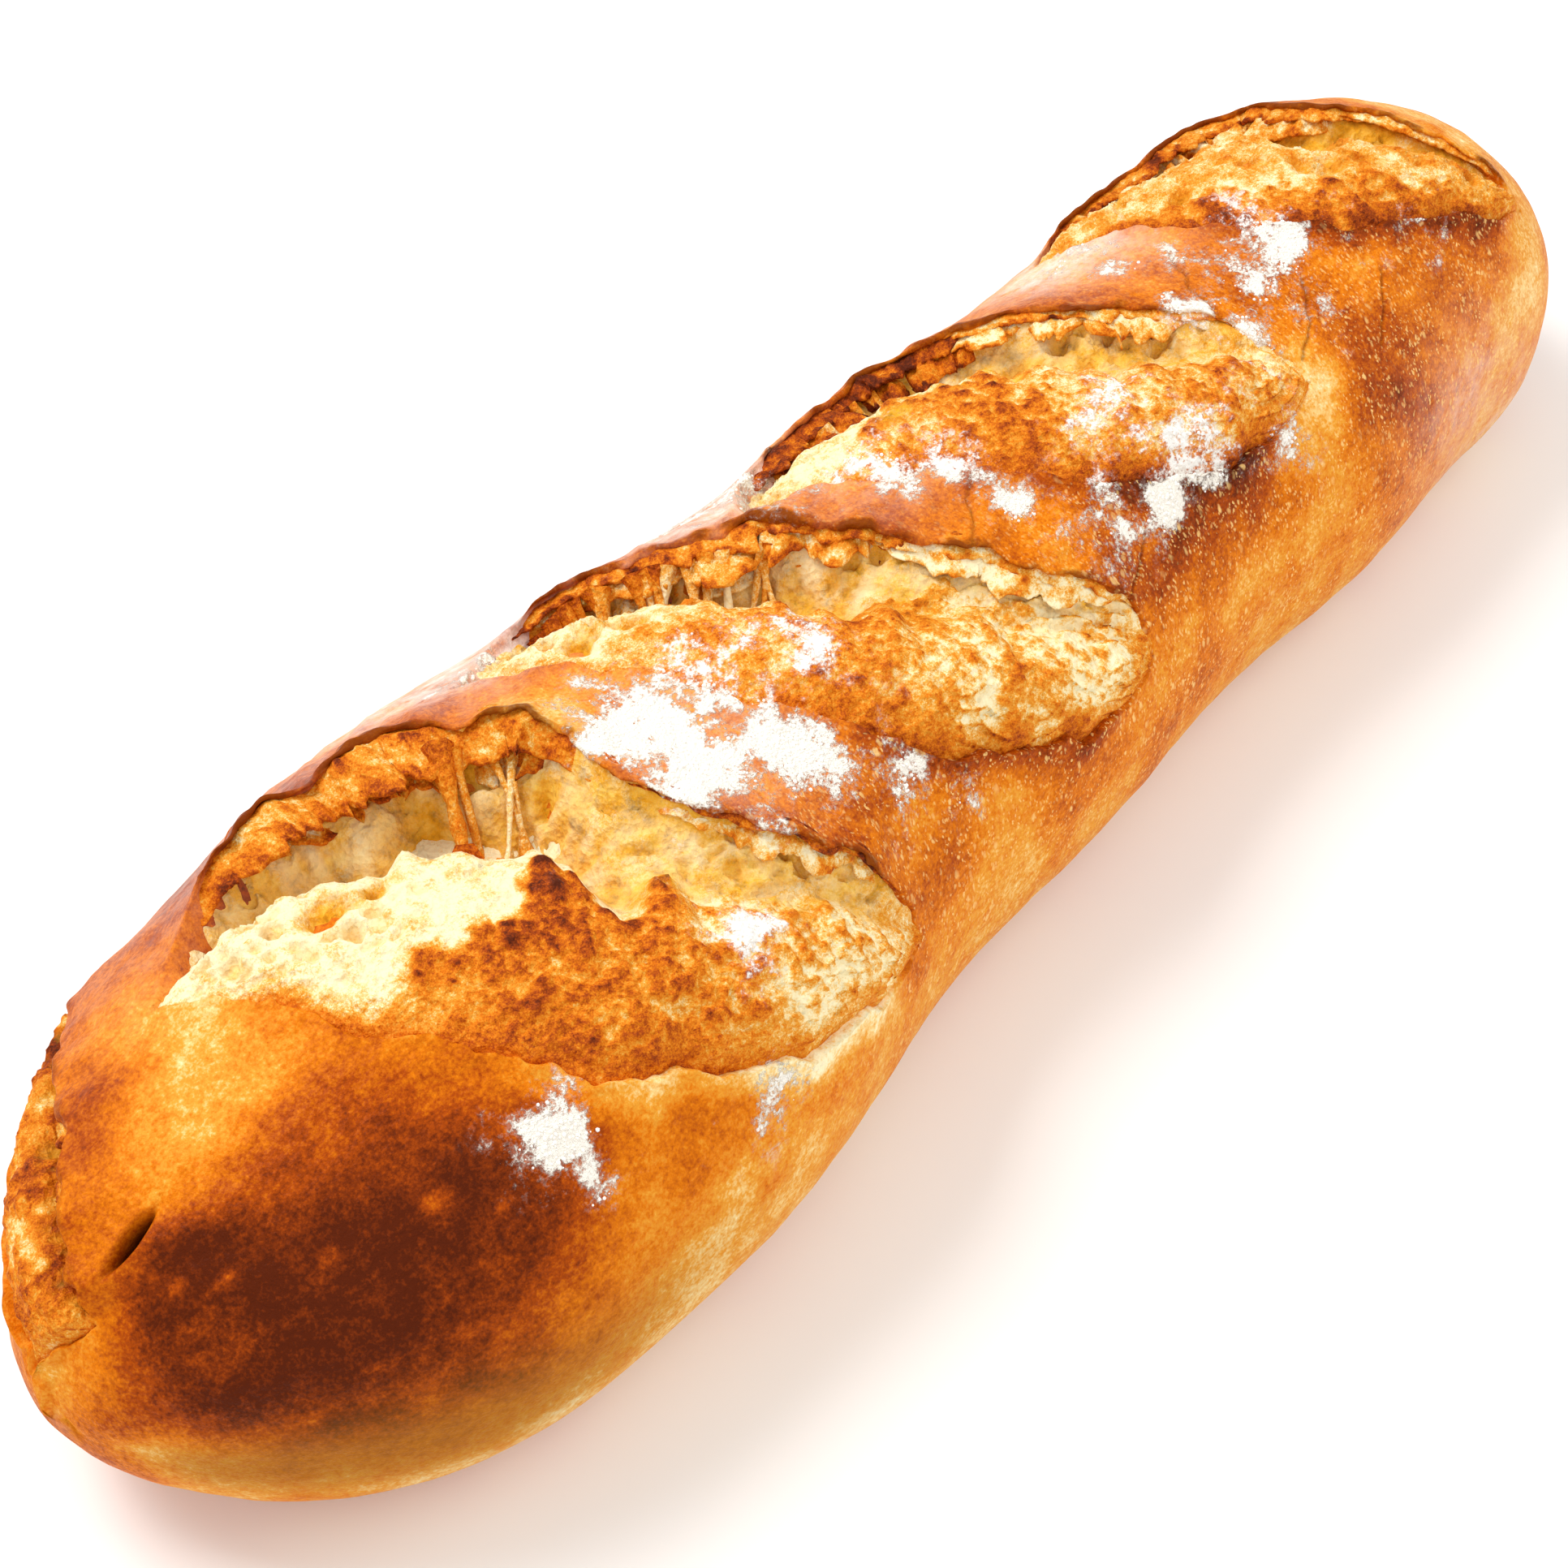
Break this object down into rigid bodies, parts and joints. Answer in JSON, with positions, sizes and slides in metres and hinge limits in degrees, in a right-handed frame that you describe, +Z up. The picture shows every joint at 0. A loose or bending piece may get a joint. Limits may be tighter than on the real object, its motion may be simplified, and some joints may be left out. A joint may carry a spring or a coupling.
{
  "type": "long bread loaf",
  "caption": "Long crusty bread loaf, wider at one end, torn open along slanting scores, with a flat underside to rest on.",
  "frame": {"origin": "middle of the loaf's box, on the surface it rests on", "axes": "+X along the loaf from its wide end to its narrow end, +Z up out of the scored crest, +Y across it"},
  "size_m": [0.3636, 0.1064, 0.0719],
  "materials": {
    "crust": "matt golden brown baked crust, cream crumb in the tears, flour dust"
  },
  "bodies": {
    "root": {"loaf": "crust"}
  },
  "joints": []
}
